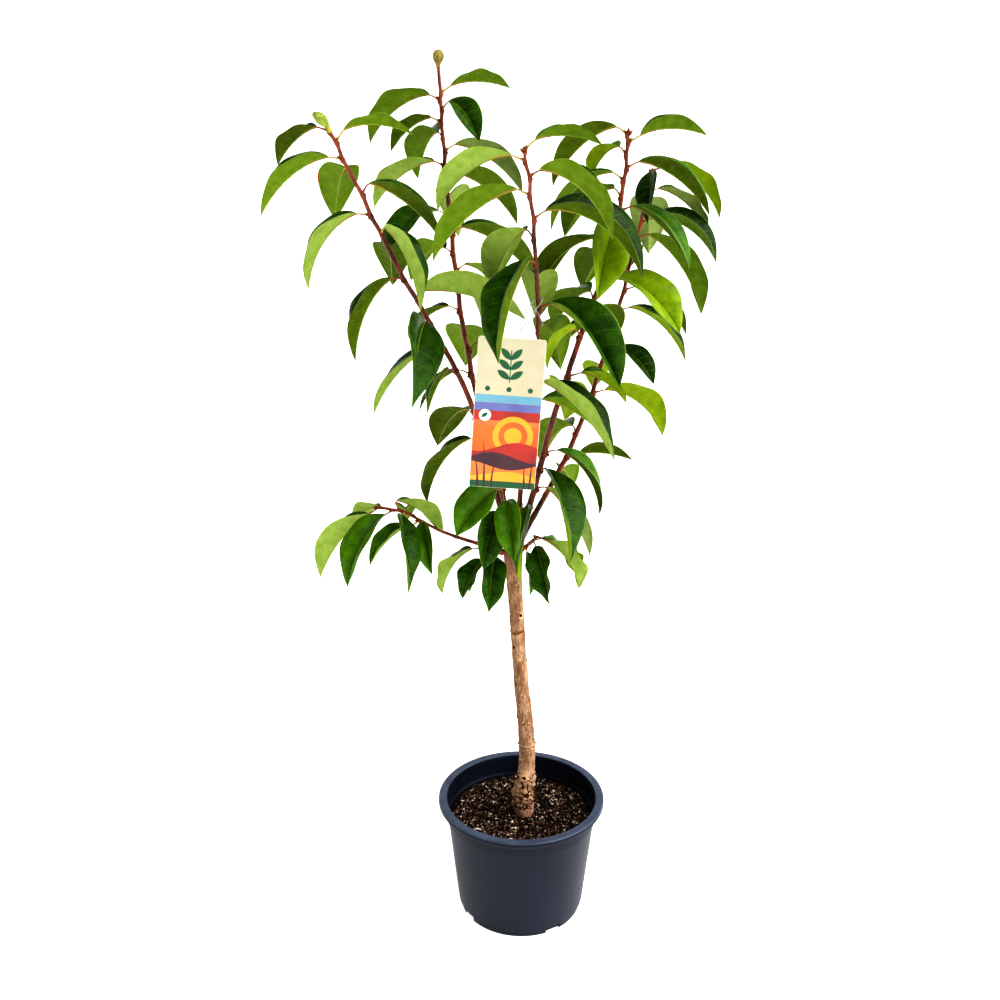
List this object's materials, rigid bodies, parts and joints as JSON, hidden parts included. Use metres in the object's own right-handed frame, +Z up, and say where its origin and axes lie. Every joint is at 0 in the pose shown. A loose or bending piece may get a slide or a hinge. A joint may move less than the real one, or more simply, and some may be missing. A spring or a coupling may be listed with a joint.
{
  "type": "potted muscat persimmon tree",
  "caption": "Young persimmon tree on a clear stem, with upright leafy shoots and drooping leaves, in a round nursery pot with a plain hang tag.",
  "frame": {"origin": "middle of the pot's flat underside", "axes": "+Z up along the stem, the hang tag faces -Y, the low bough reaches out to -X"},
  "size_m": [0.5934, 0.4594, 1.2455],
  "materials": {
    "pot": "dark blue-black satin plastic",
    "soil": "dark brown bark and peat mix with pale grains",
    "bark": "tan-grey young bark with small scars",
    "shoot_bark": "smooth red-brown young bark",
    "foliage": "glossy dark green above and matte olive below",
    "tag_board": "printed glossy card",
    "thread": "white plastic thread"
  },
  "bodies": {
    "root": {"pot": "pot", "soil": "soil", "trunk": "bark", "left_bough": "shoot_bark", "left_bough_leaves": "foliage", "tall_bough": "shoot_bark", "tall_bough_leaves": "foliage", "front_bough": "shoot_bark", "front_bough_leaves": "foliage", "right_bough": "shoot_bark", "right_bough_leaves": "foliage", "back_bough": "shoot_bark", "back_bough_leaves": "foliage", "low_bough": "shoot_bark", "low_bough_leaves": "foliage", "left_spur_twig": "shoot_bark", "left_spur_leaves": "foliage", "right_spur_twig": "shoot_bark", "right_spur_leaves": "foliage", "front_spur_twig": "shoot_bark", "front_spur_leaves": "foliage", "hang_tag": "tag_board", "tag_thread": "thread"}
  },
  "joints": []
}
